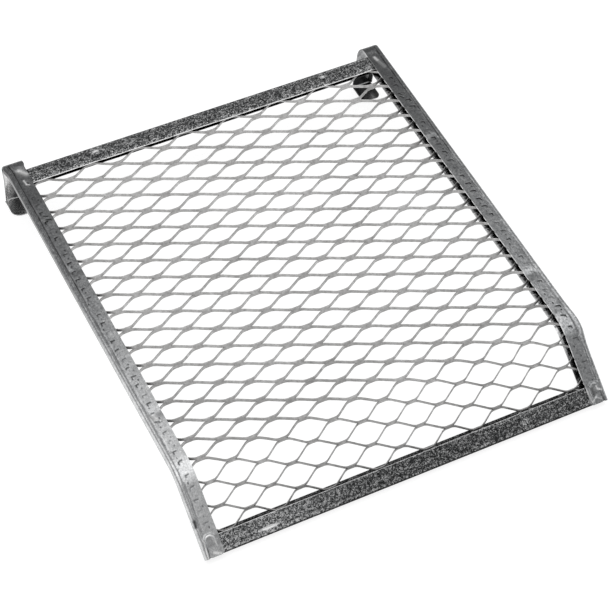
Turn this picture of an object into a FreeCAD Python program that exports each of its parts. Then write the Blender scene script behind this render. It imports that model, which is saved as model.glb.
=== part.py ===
"""Paint-roller bucket grid: a raised expanded-metal panel in a frame of folded channels.

Millimetres, +Z up. X runs across the grid, +Y towards the hooks. The grid stands on its two hook
tongues and on the front edge of its kick, and the origin is on that standing plane, under the
middle of the outer box. Along the sheet, the distance from the middle of the kick bend is called
run: negative on the flat field, positive on the kick. Height off the sheet's middle surface is
called lift.
"""
import FreeCAD, Part
import math
import os

from FreeCAD import Vector

# Frame
FRAME_WIDTH = 249.2
FLAT_LENGTH = 241.2        # outer face of the hook legs to the corner of the kick
KICK_LENGTH = 48.5         # corner of the kick to the front end, along the kick
KICK_ANGLE = math.radians(33.8)
BEND_RADIUS = 25.0         # middle surface of the sheet in the kick bend

# Side rails
SIDE_SHEET = 0.6
SIDE_THICKNESS = 5.8
SIDE_TOP_FLANGE = 10.9
SIDE_UNDER_FLANGE = 12.1
SIDE_FOLD_RADIUS = 1.5

# Cross rails
CROSS_SHEET = 0.5
CROSS_THICKNESS = 4.5
TOP_RAIL_FLANGES = (11.3, 10.7)      # top flange, under flange
BOTTOM_RAIL_FLANGES = (10.9, 12.4)
CROSS_FOLD_RADIUS = 1.3
CROSS_SIDE_CLEARANCE = 0.9
TOP_RAIL_SETBACK = 8.0     # outer face of the hook legs to the top cross rail
BOTTOM_RAIL_SETBACK = 0.2  # front end of the side rails to the bottom cross rail

# Hooks
HOOK_WIDTH = 12.8
HOOK_SETBACK = 0.4         # back end of the wall and under flange to the outer face of the leg
HOOK_BEND_RADIUS = 2.4     # inside
TONGUE_BEND_RADIUS = 0.8   # inside
TONGUE_LENGTH = 15.0
TONGUE_CORNER_RADIUS = 5.0
LIP_RADIUS = 2.4           # outside, where the leg's outer edge curls forwards

# Pressed marks in the sheet
MARK_DEPTH = 0.25
CRIMP_LENGTH = 9.0
CRIMP_WIDTH = 4.6
CRIMP_INSET = 5.2          # outer wall of the side rail to the middle of the crimp
MARK_SETBACK = 5.5         # wall of the cross rail to the middle of a crimp or clinch
CLINCH_DIAMETER = 3.2
CLINCH_INSET = 42.0        # outer wall of the frame to a clinch on a cross rail

# Expanded metal: one diamond is LONG_WAY by SHORT_WAY
LONG_WAY = 30.48
SHORT_WAY = 13.692
STRAND_WIDTH = 1.7
STRAND_THICKNESS = 0.8
STRAND_TILT = math.radians(61.0)
BOND_HALF_LENGTH = 2.54
ROWS_BEHIND_BEND = 34      # half-pitch rows of bonds on the flat field
ROWS_ON_KICK = 7
ROW_PHASE = 0.4            # bend line to the next bond row on the kick, in row pitches
COLUMN_SHIFT = -0.6        # middle bond column from the middle of the frame
COLUMNS_EACH_SIDE = 8
EDGE_STUB = 0.25           # sheared length of bond past the last column's middle

# Worked out from the sizes above
HALF_WIDTH = FRAME_WIDTH / 2
HALF_SIDE = SIDE_THICKNESS / 2
HALF_CROSS = CROSS_THICKNESS / 2
BEND_TANGENT = BEND_RADIUS * math.tan(KICK_ANGLE / 2)
BEND_HALF_ARC = BEND_RADIUS * KICK_ANGLE / 2
KICK_DROP = KICK_LENGTH * math.sin(KICK_ANGLE) + HALF_SIDE * math.cos(KICK_ANGLE)
KICK_REACH = KICK_LENGTH * math.cos(KICK_ANGLE) + HALF_SIDE * math.sin(KICK_ANGLE)
SHEET_HEIGHT = KICK_DROP
BACK_FACE = (FLAT_LENGTH + KICK_REACH) / 2
BEND_CORNER = BACK_FACE - FLAT_LENGTH
RAIL_END = BACK_FACE - HOOK_SETBACK
RAIL_TOP = SHEET_HEIGHT + HALF_SIDE
HOOK_ROOT = BACK_FACE - HOOK_BEND_RADIUS - SIDE_SHEET
HALF_COLUMN = LONG_WAY / 2
ROW_PITCH = SHORT_WAY / 2


def on_kick(distance, lift):
    """Y and Z of a point on the flat of the kick, by its distance from the kick's corner."""
    y = BEND_CORNER - distance * math.cos(KICK_ANGLE) - lift * math.sin(KICK_ANGLE)
    z = SHEET_HEIGHT - distance * math.sin(KICK_ANGLE) + lift * math.cos(KICK_ANGLE)
    return y, z


def on_bend(angle, lift):
    """Y and Z of a point in the kick bend, where the sheet has turned down by angle."""
    y = BEND_CORNER + BEND_TANGENT - (BEND_RADIUS + lift) * math.sin(angle)
    z = SHEET_HEIGHT - BEND_RADIUS + (BEND_RADIUS + lift) * math.cos(angle)
    return y, z


def sheet_frame(run):
    """The point of the sheet at this run, its backward tangent and its upward normal."""
    if run <= -BEND_HALF_ARC:
        angle = 0.0
        y, z = BEND_CORNER + BEND_TANGENT - BEND_HALF_ARC - run, SHEET_HEIGHT
    elif run < BEND_HALF_ARC:
        angle = (run + BEND_HALF_ARC) / BEND_RADIUS
        y, z = on_bend(angle, 0)
    else:
        angle = KICK_ANGLE
        y, z = on_kick(run - BEND_HALF_ARC + BEND_TANGENT, 0)
    back = Vector(0, math.cos(angle), math.sin(angle))
    up = Vector(0, -math.sin(angle), math.cos(angle))
    return Vector(0, y, z), back, up


def channel_outline(thickness, sheet, top_flange, under_flange, fold_radius):
    """Closed section of a folded channel: inset from its outer wall, and lift, as a wire.

    The wall stands at inset 0 and both flanges run to larger insets. The returned wire lies in
    the XZ plane with inset along +X and lift along +Z.
    """
    half = thickness / 2
    inner = fold_radius - sheet

    def corner(sign, radius, first_end):
        """Arc round one fold between flange and wall, bulging outwards, as an edge and its two ends."""
        centre = Vector(fold_radius, 0, sign * (half - fold_radius))
        diagonal = radius * math.sqrt(0.5)
        flange_end = centre + Vector(0, 0, sign * radius)
        middle = centre + Vector(-diagonal, 0, sign * diagonal)
        wall_end = centre + Vector(-radius, 0, 0)
        points = [flange_end, middle, wall_end]
        if first_end == "wall":
            points.reverse()
        return Part.Arc(*points).toShape(), points[0], points[2]

    pieces = [
        corner(1, fold_radius, "flange"),
        corner(-1, fold_radius, "wall"),
        (Vector(under_flange, 0, -half), Vector(under_flange, 0, -half + sheet)),
        corner(-1, inner, "flange"),
        corner(1, inner, "wall"),
        (Vector(top_flange, 0, half - sheet), Vector(top_flange, 0, half)),
    ]
    edges = []
    ends = []
    for piece in pieces:
        if len(piece) == 3:
            edge, start, end = piece
        else:
            start, end = piece
            edge = Part.LineSegment(start, end).toShape()
        edges.append(edge)
        ends.append((start, end))
    joined = []
    for index, edge in enumerate(edges):
        joined.append(edge)
        start = ends[index][1]
        end = ends[(index + 1) % len(ends)][0]
        joined.append(Part.LineSegment(start, end).toShape())
    return Part.Wire(joined)


def side_path():
    """Middle line of a side rail from its back end over the bend to its front end."""
    def point(pair):
        return Vector(0, pair[0], pair[1])

    bend_start = point(on_bend(0, 0))
    bend_middle = point(on_bend(KICK_ANGLE / 2, 0))
    bend_end = point(on_bend(KICK_ANGLE, 0))
    return Part.Wire([
        Part.LineSegment(Vector(0, RAIL_END, SHEET_HEIGHT), bend_start).toShape(),
        Part.Arc(bend_start, bend_middle, bend_end).toShape(),
        Part.LineSegment(bend_end, point(on_kick(KICK_LENGTH, 0))).toShape(),
    ])


def leg_plan():
    """Section of the right hook's leg seen from above: a flat strip whose outer edge curls forwards."""
    outer = Vector(HALF_WIDTH - LIP_RADIUS, BACK_FACE - LIP_RADIUS, 0)

    def arc(radius):
        diagonal = radius * math.sqrt(0.5)
        start = outer + Vector(0, radius, 0)
        end = outer + Vector(radius, 0, 0)
        return Part.Arc(start, outer + Vector(diagonal, diagonal, 0), end).toShape(), start, end

    outside, outside_start, outside_end = arc(LIP_RADIUS)
    inside, inside_start, inside_end = arc(LIP_RADIUS - SIDE_SHEET)
    inner_x = HALF_WIDTH - HOOK_WIDTH
    corner_back = Vector(inner_x, BACK_FACE, 0)
    corner_front = Vector(inner_x, BACK_FACE - SIDE_SHEET, 0)
    return Part.Face(Part.Wire([
        Part.LineSegment(corner_back, outside_start).toShape(),
        outside,
        Part.LineSegment(outside_end, inside_end).toShape(),
        inside,
        Part.LineSegment(inside_start, corner_front).toShape(),
        Part.LineSegment(corner_front, corner_back).toShape(),
    ]))


def curl_corner():
    """What the curled lip leaves clear: the outer back corner of the right rail, over its full height."""
    corner = Part.makeBox(LIP_RADIUS, LIP_RADIUS, RAIL_TOP)
    corner = corner.cut(Part.makeCylinder(LIP_RADIUS, RAIL_TOP))
    corner.translate(Vector(HALF_WIDTH - LIP_RADIUS, BACK_FACE - LIP_RADIUS, 0))
    return corner


def hook():
    """Strip bent down from the right rail's top flange, then forwards into a tongue."""
    outer_bend = HOOK_BEND_RADIUS + SIDE_SHEET
    outer_tongue = TONGUE_BEND_RADIUS + SIDE_SHEET

    def quarter(centre_y, centre_z, radius, toward_z):
        """Quarter arc from the leg side (+Y) to the flange or tongue side of a bend."""
        diagonal = radius * math.sqrt(0.5)
        return Part.Arc(
            Vector(0, centre_y + radius, centre_z),
            Vector(0, centre_y + diagonal, centre_z + toward_z * diagonal),
            Vector(0, centre_y, centre_z + toward_z * radius),
        ).toShape()

    def line(y1, z1, y2, z2):
        return Part.LineSegment(Vector(0, y1, z1), Vector(0, y2, z2)).toShape()

    bend_z = RAIL_TOP - outer_bend
    tongue_y = BACK_FACE - outer_tongue
    tongue_tip = BACK_FACE - TONGUE_LENGTH
    side = Part.Wire(Part.__sortEdges__([
        line(HOOK_ROOT, RAIL_TOP, HOOK_ROOT, RAIL_TOP - SIDE_SHEET),
        quarter(HOOK_ROOT, bend_z, HOOK_BEND_RADIUS, 1),
        line(BACK_FACE - SIDE_SHEET, bend_z, BACK_FACE - SIDE_SHEET, outer_tongue),
        quarter(tongue_y, outer_tongue, TONGUE_BEND_RADIUS, -1),
        line(tongue_y, SIDE_SHEET, tongue_tip, SIDE_SHEET),
        line(tongue_tip, SIDE_SHEET, tongue_tip, 0),
        line(tongue_tip, 0, tongue_y, 0),
        quarter(tongue_y, outer_tongue, outer_tongue, -1),
        line(BACK_FACE, outer_tongue, BACK_FACE, bend_z),
        quarter(HOOK_ROOT, bend_z, outer_bend, 1),
    ]))
    strip = Part.Face(side).extrude(Vector(HOOK_WIDTH, 0, 0))
    strip.translate(Vector(HALF_WIDTH - HOOK_WIDTH, 0, 0))
    tip_edges = []
    for edge in strip.Edges:
        box = edge.BoundBox
        if box.YMax < tongue_tip + 0.01 and box.ZLength > SIDE_SHEET / 2 and box.XLength < 0.01:
            tip_edges.append(edge)
    strip = strip.makeFillet(TONGUE_CORNER_RADIUS, tip_edges)

    leg = leg_plan().extrude(Vector(0, 0, bend_z - outer_tongue))
    leg.translate(Vector(0, 0, outer_tongue))
    return strip.cut(curl_corner()).fuse(leg).removeSplitter()


def oval_mark(length, width, depth):
    """Tool of a pressed mark: an oval plug along X, its top at lift 0, centred on the origin."""
    radius = width / 2
    straight = (length - width) / 2
    plug = Part.makeCylinder(radius, depth, Vector(straight, 0, -depth))
    if straight > 0:
        plug = plug.fuse([
            Part.makeCylinder(radius, depth, Vector(-straight, 0, -depth)),
            Part.makeBox(2 * straight, width, depth, Vector(-straight, -radius, -depth)),
        ]).removeSplitter()
    return plug


def press(shape, mark, x, y, z, tilt):
    """Presses a copy of the mark into the shape, turned down by tilt about X."""
    tool = mark.copy()
    tool.rotate(Vector(0, 0, 0), Vector(1, 0, 0), math.degrees(tilt))
    tool.translate(Vector(x, y, z))
    return shape.cut(tool)


def right_side_rail():
    """Channel over the right edge of the mesh, with its hook and two corner crimps."""
    outline = channel_outline(
        SIDE_THICKNESS, SIDE_SHEET, SIDE_TOP_FLANGE, SIDE_UNDER_FLANGE, SIDE_FOLD_RADIUS
    )
    outline.rotate(Vector(0, 0, 0), Vector(0, 0, 1), 180)
    outline.translate(Vector(HALF_WIDTH, RAIL_END, SHEET_HEIGHT))
    path = side_path()
    path.translate(Vector(HALF_WIDTH, 0, 0))
    rail = path.makePipeShell([outline], True, False)
    notch = Part.makeBox(SIDE_TOP_FLANGE, BACK_FACE - HOOK_ROOT, SIDE_FOLD_RADIUS)
    notch.translate(Vector(HALF_WIDTH - SIDE_TOP_FLANGE, HOOK_ROOT, RAIL_TOP - SIDE_FOLD_RADIUS))
    rail = rail.cut([notch, curl_corner()]).fuse(hook()).removeSplitter()

    crimp = oval_mark(CRIMP_LENGTH, CRIMP_WIDTH, MARK_DEPTH)
    crimp.rotate(Vector(0, 0, 0), Vector(0, 0, 1), 90)
    crimp_x = HALF_WIDTH - CRIMP_INSET
    back_y = BACK_FACE - TOP_RAIL_SETBACK - MARK_SETBACK
    rail = press(rail, crimp, crimp_x, back_y, SHEET_HEIGHT + HALF_SIDE, 0)
    front_distance = KICK_LENGTH - BOTTOM_RAIL_SETBACK - MARK_SETBACK
    front_y, front_z = on_kick(front_distance, HALF_SIDE)
    return press(rail, crimp, crimp_x, front_y, front_z, KICK_ANGLE)


def cross_rail(flanges):
    """Channel along X with its outer wall at Y = 0, open towards -Y, centred on lift 0."""
    top_flange, under_flange = flanges
    length = FRAME_WIDTH - 2 * (SIDE_SHEET + CROSS_SIDE_CLEARANCE)
    outline = channel_outline(
        CROSS_THICKNESS, CROSS_SHEET, top_flange, under_flange, CROSS_FOLD_RADIUS
    )
    outline.rotate(Vector(0, 0, 0), Vector(0, 0, 1), -90)
    outline.translate(Vector(-length / 2, 0, 0))
    rail = Part.Face(outline).extrude(Vector(length, 0, 0))
    clinch = oval_mark(CLINCH_DIAMETER, CLINCH_DIAMETER, MARK_DEPTH)
    for side in (-1, 1):
        clinch_x = side * (HALF_WIDTH - CLINCH_INSET)
        rail = press(rail, clinch, clinch_x, -MARK_SETBACK, HALF_CROSS, 0)
    return rail


def top_cross_rail():
    """Cross rail on the back edge of the mesh."""
    rail = cross_rail(TOP_RAIL_FLANGES)
    rail.translate(Vector(0, BACK_FACE - TOP_RAIL_SETBACK, SHEET_HEIGHT))
    return rail


def bottom_cross_rail():
    """Cross rail on the front edge of the mesh, turned round and laid on the kick."""
    rail = cross_rail(BOTTOM_RAIL_FLANGES)
    rail.rotate(Vector(0, 0, 0), Vector(0, 0, 1), 180)
    rail.rotate(Vector(0, 0, 0), Vector(1, 0, 0), math.degrees(KICK_ANGLE))
    y, z = on_kick(KICK_LENGTH - BOTTOM_RAIL_SETBACK, 0)
    rail.translate(Vector(0, y, z))
    return rail


def bond_section(column, row, side):
    """Corners of the sheet's section at one end of a bond, as [lower, middle, upper] pairs.

    The slit sheet is pulled so that each strand stands tilted, with its back edge up. A bond is
    two strands wide. Each pair holds the point on the strand's under side and on its top side.
    """
    run = (row + ROW_PHASE) * ROW_PITCH
    centre, back, up = sheet_frame(run)
    across = back * math.cos(STRAND_TILT) + up * math.sin(STRAND_TILT)
    out = up * math.cos(STRAND_TILT) - back * math.sin(STRAND_TILT)
    half_length = BOND_HALF_LENGTH
    if column == side * COLUMNS_EACH_SIDE:
        half_length = EDGE_STUB
    x = COLUMN_SHIFT + column * HALF_COLUMN + side * half_length
    section = []
    for step in (-1, 0, 1):
        middle = centre + across * (step * STRAND_WIDTH) + Vector(x, 0, 0)
        section.append([middle - out * (STRAND_THICKNESS / 2), middle + out * (STRAND_THICKNESS / 2)])
    return section


def flat_face(points):
    """A planar face through the points."""
    return Part.Face(Part.makePolygon(points + [points[0]]))


def end_face(half):
    """Cross-cut across one strand."""
    return flat_face([half[0][0], half[0][1], half[1][1], half[1][0]])


def faces_between(start, end):
    """Four sides of a strand between two section halves, split where they are not flat."""
    def ring(section):
        return [section[0][0], section[1][0], section[1][1], section[0][1]]

    first = ring(start)
    last = ring(end)
    faces = []
    for index in range(4):
        following = (index + 1) % 4
        quad = [first[index], first[following], last[following], last[index]]
        normal = (quad[1] - quad[0]).cross(quad[2] - quad[0])
        if abs(normal.dot(quad[3] - quad[0])) < 1e-7 * normal.Length:
            faces.append(flat_face(quad))
        else:
            faces.append(flat_face([quad[0], quad[1], quad[2]]))
            faces.append(flat_face([quad[0], quad[2], quad[3]]))
    return faces


def all_bonds():
    """Column and row of every bond in the sheet: neighbouring rows are staggered by a column."""
    bonds = set()
    for row in range(-ROWS_BEHIND_BEND, ROWS_ON_KICK):
        for column in range(-COLUMNS_EACH_SIDE, COLUMNS_EACH_SIDE + 1):
            if (row + column) % 2 == 0:
                bonds.add((column, row))
    return bonds


def mesh_solid(first_row, last_row, joins_behind):
    """Rows of raised expanded metal as the closed skin of their bonds and strands.

    Where the sheet goes on past these rows, the strands to the row behind the first one belong
    to this solid if joins_behind is true, and end at that row's bonds.
    """
    bonds = all_bonds()
    faces = []
    for column, row in sorted(bonds):
        if not first_row <= row <= last_row:
            continue
        left = bond_section(column, row, -1)
        right = bond_section(column, row, 1)
        for layer in (0, 1):
            rim = [point[layer] for point in left] + [point[layer] for point in reversed(right)]
            faces.append(flat_face(rim))
        for step in (0, 2):
            faces.append(flat_face([left[step][0], left[step][1], right[step][1], right[step][0]]))
        # Rows count towards the front, so the upper half of an end meets the row behind it.
        for side, section in ((-1, left), (1, right)):
            for half, step in ((section[1:], -1), (section[:2], 1)):
                far_column, far_row = column + side, row + step
                leaves = not first_row <= far_row <= last_row
                if (far_column, far_row) not in bonds or (leaves and not joins_behind):
                    faces.append(end_face(half))
                    continue
                facing = bond_section(far_column, far_row, -side)
                far_half = facing[:2] if step == -1 else facing[1:]
                if leaves:
                    faces.append(end_face(far_half))
                if leaves or side == 1:
                    faces.extend(faces_between(half, far_half))
    skin = Part.Shell(faces)
    skin.sewShape()
    return Part.Solid(skin)


def build():
    """Writes one STEP file per piece."""
    right_rail = right_side_rail()
    left_rail = right_rail.mirror(Vector(0, 0, 0), Vector(1, 0, 0))
    shapes = {
        "mesh_field": mesh_solid(-ROWS_BEHIND_BEND, -1, False),
        "mesh_kick": mesh_solid(0, ROWS_ON_KICK - 1, True),
        "left_side_rail": left_rail,
        "right_side_rail": right_rail,
        "top_cross_rail": top_cross_rail(),
        "bottom_cross_rail": bottom_cross_rail(),
    }
    os.makedirs("parts", exist_ok=True)
    for name, shape in shapes.items():
        shape.exportStep("parts/" + name + ".step")
        print(name, len(shape.Solids), shape.isValid(), round(shape.Volume, 1), shape.BoundBox)


build()
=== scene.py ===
import math

import bmesh
import bpy
import numpy as np
from mathutils import Matrix, Vector


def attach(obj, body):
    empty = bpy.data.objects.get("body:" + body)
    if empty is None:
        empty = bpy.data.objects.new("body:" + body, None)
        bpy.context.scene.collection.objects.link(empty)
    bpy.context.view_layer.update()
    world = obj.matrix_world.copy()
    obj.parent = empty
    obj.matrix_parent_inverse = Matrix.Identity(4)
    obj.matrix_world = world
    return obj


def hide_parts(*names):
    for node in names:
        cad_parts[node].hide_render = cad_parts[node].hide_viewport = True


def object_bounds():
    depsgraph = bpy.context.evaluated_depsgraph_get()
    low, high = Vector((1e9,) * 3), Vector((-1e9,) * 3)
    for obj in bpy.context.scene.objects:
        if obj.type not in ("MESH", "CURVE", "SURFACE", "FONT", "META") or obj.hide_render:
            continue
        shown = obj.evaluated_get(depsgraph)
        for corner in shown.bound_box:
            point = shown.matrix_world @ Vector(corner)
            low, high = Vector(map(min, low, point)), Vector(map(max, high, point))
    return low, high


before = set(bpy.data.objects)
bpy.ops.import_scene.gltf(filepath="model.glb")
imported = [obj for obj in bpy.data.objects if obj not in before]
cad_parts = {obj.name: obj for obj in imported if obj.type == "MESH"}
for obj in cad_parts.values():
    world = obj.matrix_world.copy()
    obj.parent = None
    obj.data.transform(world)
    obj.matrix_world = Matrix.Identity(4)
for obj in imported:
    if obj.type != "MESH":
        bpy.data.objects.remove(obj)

# Paint-roller bucket grid: a raised expanded-metal panel held in four folded zinc-coated channels,
# with a hook under the back end of each side rail.
#
# Lengths are in millimetres until a mesh is made, and +Z is up. Along the sheet, run is the distance
# from the middle of the kick bend, negative on the flat field and positive on the kick. Lift is the
# height off the sheet's middle surface. Inset is the distance from a channel's outer wall.

MM = 0.001
cad_low, cad_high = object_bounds()

# Frame, from the CAD model's box
KICK_ANGLE = math.radians(33.8)
BEND_RADIUS = 25.0
SIDE_THICKNESS = 5.8
HALF_SIDE = SIDE_THICKNESS / 2
HALF_WIDTH = cad_high.x / MM
BACK_FACE = cad_high.y / MM
SHEET_HEIGHT = cad_high.z / MM - HALF_SIDE
KICK_LENGTH = (SHEET_HEIGHT - HALF_SIDE * math.cos(KICK_ANGLE)) / math.sin(KICK_ANGLE)
BEND_CORNER = cad_low.y / MM + KICK_LENGTH * math.cos(KICK_ANGLE) + HALF_SIDE * math.sin(KICK_ANGLE)
BEND_START = BEND_CORNER + BEND_RADIUS * math.tan(KICK_ANGLE / 2)
HALF_ARC = BEND_RADIUS * KICK_ANGLE / 2
RUN_ORIGIN = BEND_START - HALF_ARC      # where run would be 0 if the flat field went on
RUN_FRONT = KICK_LENGTH - BEND_RADIUS * math.tan(KICK_ANGLE / 2) + HALF_ARC
FRAME_SKEW = 0.003                      # the frame was folded slightly out of square

# Channels
# Top and under are how far the flanges reach from the outer wall, and fold is the folds' outer radius.
# Droop is how far the top flange's free edge comes down. The lip value is the painted tone on the under
# flange's lip: painted shade where positive, painted light where negative.
SIDE = {"sheet": 0.6, "thickness": SIDE_THICKNESS, "top": 10.9, "under": 12.1, "fold": 1.5,
        "lip_painted_tone": -0.4}
TOP_CROSS = {"sheet": 0.5, "thickness": 4.5, "top": 11.8, "under": 10.7, "fold": 1.3,
             "lip_painted_tone": 0.9, "droop": 0.3}
BOTTOM_CROSS = {**TOP_CROSS, "top": 10.9, "under": 12.4, "lip_painted_tone": 0.55, "droop": 0.0}
CROSS_END_GAP = 0.9                     # from a cross rail's end to the inside of the side rail's wall
CROSS_HALF_LENGTH = HALF_WIDTH - SIDE["sheet"] - CROSS_END_GAP
TOP_RAIL_SETBACK = 8.0
BOTTOM_RAIL_SETBACK = 0.2
RAIL_STEP = 0.4                         # spacing of the rails' points along their length
PROFILE_STEP = 0.36                     # and across their top flanges
END_CUT_REACH = 14.0                    # a side rail's back end is cut over this much of its run
UNDER_SETBACK = 7.0                     # how far its under flange stops short of the rail's end
UNDER_CUT_REACH = 34.0
LIP_DROOP = 0.4                         # how far the lips of the side rails' under flanges bend down
BEND_BULGE = 1.1                        # how far the right rail stands out at the kick bend

# Hooks
HOOK_WIDTH = 12.8
HOOK_SETBACK = 0.4
HOOK_BEND = 2.7                         # middle of the sheet
HOOK_ROOT = BACK_FACE - SIDE["sheet"] / 2 - HOOK_BEND
TONGUE_BEND = 1.1                       # middle of the sheet
TONGUE_LENGTH = 15.0
WALL_SETBACK = 2.6                      # where the leg's curled lip takes over from the rail's wall
RAIL_END = BACK_FACE - HOOK_SETBACK
LEG_OPENING = 9.0                       # length of leg over which the fold opens to the leg's lip
HOOK_WIDENING = 5.0                     # depth over which the strip widens to HOOK_WIDTH
FLARE_REACH = 10.0                      # the back corners are flared over this much of the rail
# Left (-1) and right (1): radius of the leg's lip, how far the back corner is flared, how far the foot
# leans in and forwards, and radius of the tongue's corners
HOOK_SHAPE = {-1: (3.2, 1.4, 0.0, 0.0, 5.2), 1: (2.1, 0.0, 2.7, 1.2, 3.2)}

# Expanded metal
LONG_WAY = 30.48
SHORT_WAY = 13.692
HALF_COLUMN = LONG_WAY / 2
ROW_PITCH = SHORT_WAY / 2
STRAND_WIDTH = 1.7
STRAND_THICKNESS = 0.8
STRAND_TILT = math.radians(61.0)
STRAND_BEVEL = 0.16
LEAST_BEVEL = 0.01                      # what is left of it at a bond, so that no face has zero area
ROW_PHASE = 0.4
COLUMN_SHIFT = -0.6
COLUMNS_EACH_SIDE = 8
ROWS_BEHIND_BEND = 34
ROWS_ON_KICK = 7
BOND_FLAT = 1.5                         # half of the straight length at a bond
BOND_REACH = 3.2                        # the bevel fades out this near to a bond's middle
BOND_FADE = 1.4
STRAND_EASE = 0.26                      # share of a strand that curves at each end
MESH_TURN = math.radians(0.3)           # the panel lies slightly turned in its frame

# Marks on the rails' top flanges, with -1 for the left side rail and 1 for the right one. Their painted
# tone is positive for painted shade and negative for painted highlights.
# Dents over a side rail's whole flange: y, depth and reach
SIDE_DENTS = {-1: ((48.4, 0.16, 3.0), (-60.5, 0.3, 3.4)), 1: ((54.4, 0.5, 3.4), (-61.6, 0.42, 3.0))}
# Creases: start and end as (run, inset), width, depth, and painted tone (positive for painted shade,
# negative for a painted highlight)
CREASES = {
    -1: (
        ((-231.6, 6.6), (-228.0, 9.6), 1.7, 0.1, -0.75),
        ((-223.6, 6.2), (-220.6, 6.6), 0.55, 0.12, -0.8),
        ((-220.6, 6.6), (-219.6, 8.0), 0.5, 0.12, -0.7),
        ((-221.9, 7.6), (-221.3, 8.0), 0.5, 0.12, 0.8),
        ((-193.6, 6.3), (-192.6, 8.2), 0.5, 0.1, 0.9),
        ((-190.2, 7.2), (-189.6, 9.2), 0.65, 0.15, 1.0),
        ((-37.2, 5.0), (-34.6, 5.6), 1.5, 0.12, -0.75),
        ((-33.2, 4.6), (-32.6, 6.8), 0.5, 0.1, 0.85),
        ((27.0, 1.2), (30.0, 1.2), 0.7, 0.1, 1.2),
        ((38.8, 2.1), (48.2, 1.3), 0.3, 0.0, -0.9),
        ((36.6, 4.2), (36.4, 6.4), 0.4, 0.0, -0.7),
        ((36.6, 6.6), (42.8, 8.4), 0.35, 0.0, -0.45),
        ((46.0, 5.6), (47.6, 9.0), 0.7, 0.0, -0.9),
    ),
    1: (
        ((-229.0, 7.0), (-220.0, 5.2), 1.1, 0.08, -0.3),
        ((-230.0, 7.2), (-227.0, 6.6), 0.8, 0.05, -0.9),
        ((-196.0, 8.4), (-194.6, 7.2), 0.6, 0.12, 1.0),
        ((-193.4, 8.6), (-191.6, 7.4), 0.6, 0.12, 1.0),
        ((37.0, 10.7), (46.4, 9.8), 0.3, 0.0, -0.9),
        ((38.0, 9.4), (44.0, 8.7), 0.25, 0.0, -0.5),
        ((46.4, 9.6), (44.4, 6.3), 0.35, 0.0, -0.9),
        ((44.4, 6.3), (46.4, 3.6), 0.35, 0.0, -0.8),
        ((39.0, 7.4), (43.2, 7.0), 1.1, 0.2, 0.6),
        ((38.6, 4.1), (40.6, 3.6), 0.45, 0.1, -0.9),
        ((40.6, 3.6), (41.4, 1.8), 0.45, 0.1, -0.9),
    ),
}
# Clinches in a cross rail: x, inset and depth. The top rail has none.
TOP_CLINCHES = ()
BOTTOM_CLINCHES = ((72.4, 5.5, 0.12),)
# Dents in a cross rail: x, inset, depth (negative is raised), half length, half width and painted tone
# (negative for a painted highlight, positive for painted shade)
TOP_DENTS = (
    (-70.6, 4.2, -0.1, 2.4, 1.3, -1.2),
    (-72.2, 7.6, 0.15, 2.2, 1.3, 0.7),
    (80.6, 4.5, -0.1, 1.4, 1.1, -1.2),
    (80.0, 7.0, 0.25, 1.3, 1.0, 1.1),
)
BOTTOM_DENTS = ((-86.0, 4.0, 0.15, 6.5, 1.0, -1.1),)


# Curves and surfaces

def smooth(t):
    """0 below 0, 1 above 1, and 3t² − 2t³ between."""
    t = np.clip(t, 0.0, 1.0)
    return t * t * (3 - 2 * t)


def eased(t, share):
    """Rises from 0 to 1 at a speed that grows evenly over the first share and falls over the last."""
    t = np.clip(t, 0.0, 1.0)
    top_speed = 1 / (1 - share)
    start = top_speed * t * t / (2 * share)
    middle = top_speed * (t - share / 2)
    end = 1 - top_speed * (1 - t) ** 2 / (2 * share)
    return np.where(t < share, start, np.where(t > 1 - share, end, middle))


def bell(distance, width):
    """Gaussian hump, 1 at distance 0."""
    return np.exp(-((distance / width) ** 2))


def wander(t, spacing, seed):
    """Smooth random curve between −1 and 1, with a new value at every multiple of spacing."""
    values = np.random.default_rng(seed).uniform(-1, 1, 4096)
    place = t / spacing + 2048
    cell = np.floor(place).astype(int)
    share = smooth(place - cell)
    return values[cell] * (1 - share) + values[cell + 1] * share


def on_sheet(x, run, lift):
    """Points on the bent sheet: straight back on the flat field, an arc, then straight down the kick."""
    angle = np.clip((run + HALF_ARC) / BEND_RADIUS, 0, KICK_ANGLE)
    behind = np.minimum(run + HALF_ARC, 0)
    past = np.maximum(run - HALF_ARC, 0)
    radius = BEND_RADIUS + lift
    y = BEND_START - behind - radius * np.sin(angle) - past * np.cos(angle)
    z = SHEET_HEIGHT - BEND_RADIUS + radius * np.cos(angle) - past * np.sin(angle)
    return np.stack(np.broadcast_arrays(x, y, z), -1)


def skewed(points):
    """The frame out of square: x moves with y, and y with x, by FRAME_SKEW."""
    moved = points.copy()
    moved[..., 0] -= FRAME_SKEW * points[..., 1]
    moved[..., 1] -= FRAME_SKEW * points[..., 0]
    return moved


def plate_faces(rows, columns, first):
    """Quads of a closed plate whose two skins are grids of rows x columns points: skins, then rims."""
    upper = first + np.arange(rows * columns).reshape(rows, columns)
    lower = upper + rows * columns

    def skin(grid):
        corners = (grid[:-1, :-1], grid[1:, :-1], grid[1:, 1:], grid[:-1, 1:])
        return np.stack(corners, -1).reshape(-1, 4)

    def rim(upper_edge, lower_edge):
        return np.stack((upper_edge[:-1], upper_edge[1:], lower_edge[1:], lower_edge[:-1]), -1)

    return np.concatenate((
        skin(upper),
        skin(lower)[:, ::-1],
        rim(upper[0], lower[0]),
        rim(upper[-1][::-1], lower[-1][::-1]),
        rim(upper[:, 0][::-1], lower[:, 0][::-1]),
        rim(upper[:, -1], lower[:, -1]),
    ))


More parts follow.
